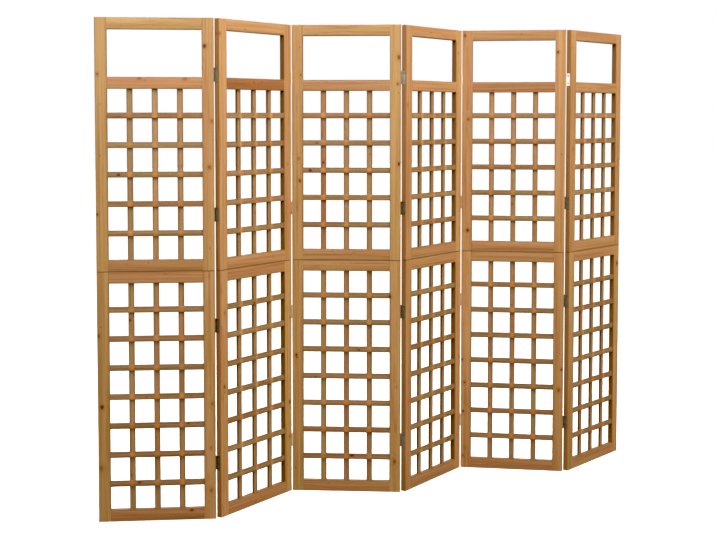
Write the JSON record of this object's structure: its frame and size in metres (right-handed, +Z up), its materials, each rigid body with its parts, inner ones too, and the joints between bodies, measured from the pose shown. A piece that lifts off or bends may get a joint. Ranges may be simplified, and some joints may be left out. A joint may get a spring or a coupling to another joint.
{
  "type": "accordion folding partition",
  "caption": "Free-standing folding screen of open wooden lattice panels, hinged edge to edge in a zigzag, that divides a room and folds shut to a flat stack.",
  "frame": {"origin": "on the floor, in the middle of the standing zigzag's bounding box", "axes": "+X along the zigzag from panel 1 to panel 6, -Y towards the front, +Z up"},
  "size_m": [2.2766, 0.2524, 1.8],
  "materials": {
    "frame_wood": "honey stain under satin varnish",
    "slat_wood": "honey stain under satin varnish",
    "dowel_wood": "bare, fluted",
    "hinge_steel": "zinc plated",
    "screw_steel": "zinc plated"
  },
  "bodies": {
    "panel_1": {"panel_1_stiles": "frame_wood", "panel_1_rails": "frame_wood", "panel_1_vertical_slats": "slat_wood", "panel_1_horizontal_slats": "slat_wood", "panel_1_dowels": "dowel_wood", "panel_1_section_screws": "screw_steel", "panel_1_right_leaves": "hinge_steel", "panel_1_hinge_screws": "screw_steel", "fold_1_pins": "hinge_steel"},
    "panel_2": {"panel_2_stiles": "frame_wood", "panel_2_rails": "frame_wood", "panel_2_vertical_slats": "slat_wood", "panel_2_horizontal_slats": "slat_wood", "panel_2_dowels": "dowel_wood", "panel_2_section_screws": "screw_steel", "panel_2_left_leaves": "hinge_steel", "panel_2_right_leaves": "hinge_steel", "panel_2_hinge_screws": "screw_steel", "fold_2_pins": "hinge_steel"},
    "panel_3": {"panel_3_stiles": "frame_wood", "panel_3_rails": "frame_wood", "panel_3_vertical_slats": "slat_wood", "panel_3_horizontal_slats": "slat_wood", "panel_3_dowels": "dowel_wood", "panel_3_section_screws": "screw_steel", "panel_3_left_leaves": "hinge_steel", "panel_3_right_leaves": "hinge_steel", "panel_3_hinge_screws": "screw_steel", "fold_3_pins": "hinge_steel"},
    "panel_4": {"panel_4_stiles": "frame_wood", "panel_4_rails": "frame_wood", "panel_4_vertical_slats": "slat_wood", "panel_4_horizontal_slats": "slat_wood", "panel_4_dowels": "dowel_wood", "panel_4_section_screws": "screw_steel", "panel_4_left_leaves": "hinge_steel", "panel_4_right_leaves": "hinge_steel", "panel_4_hinge_screws": "screw_steel", "fold_4_pins": "hinge_steel"},
    "panel_5": {"panel_5_stiles": "frame_wood", "panel_5_rails": "frame_wood", "panel_5_vertical_slats": "slat_wood", "panel_5_horizontal_slats": "slat_wood", "panel_5_dowels": "dowel_wood", "panel_5_section_screws": "screw_steel", "panel_5_left_leaves": "hinge_steel", "panel_5_right_leaves": "hinge_steel", "panel_5_hinge_screws": "screw_steel", "fold_5_pins": "hinge_steel"},
    "panel_6": {"panel_6_stiles": "frame_wood", "panel_6_rails": "frame_wood", "panel_6_vertical_slats": "slat_wood", "panel_6_horizontal_slats": "slat_wood", "panel_6_dowels": "dowel_wood", "panel_6_section_screws": "screw_steel", "panel_6_left_leaves": "hinge_steel", "panel_6_hinge_screws": "screw_steel"}
  },
  "joints": [
    {"name": "fold_1", "type": "hinge", "parent": "panel_1", "child": "panel_2", "pos_m": [-0.73822, -0.08795, 0.9], "axis": [0, 0, 1], "range_deg": [-50, 130]},
    {"name": "fold_2", "type": "hinge", "parent": "panel_2", "child": "panel_3", "pos_m": [-0.36333, 0.10153, 0.9], "axis": [0, 0, -1], "range_deg": [-59, 121]},
    {"name": "fold_3", "type": "hinge", "parent": "panel_3", "child": "panel_4", "pos_m": [0.0148, -0.08138, 0.9], "axis": [0, 0, 1], "range_deg": [-59, 121]},
    {"name": "fold_4", "type": "hinge", "parent": "panel_4", "child": "panel_5", "pos_m": [0.38969, 0.1081, 0.9], "axis": [0, 0, -1], "range_deg": [-64, 116]},
    {"name": "fold_5", "type": "hinge", "parent": "panel_5", "child": "panel_6", "pos_m": [0.75044, -0.10707, 0.9], "axis": [0, 0, 1], "range_deg": [-59, 121]}
  ]
}
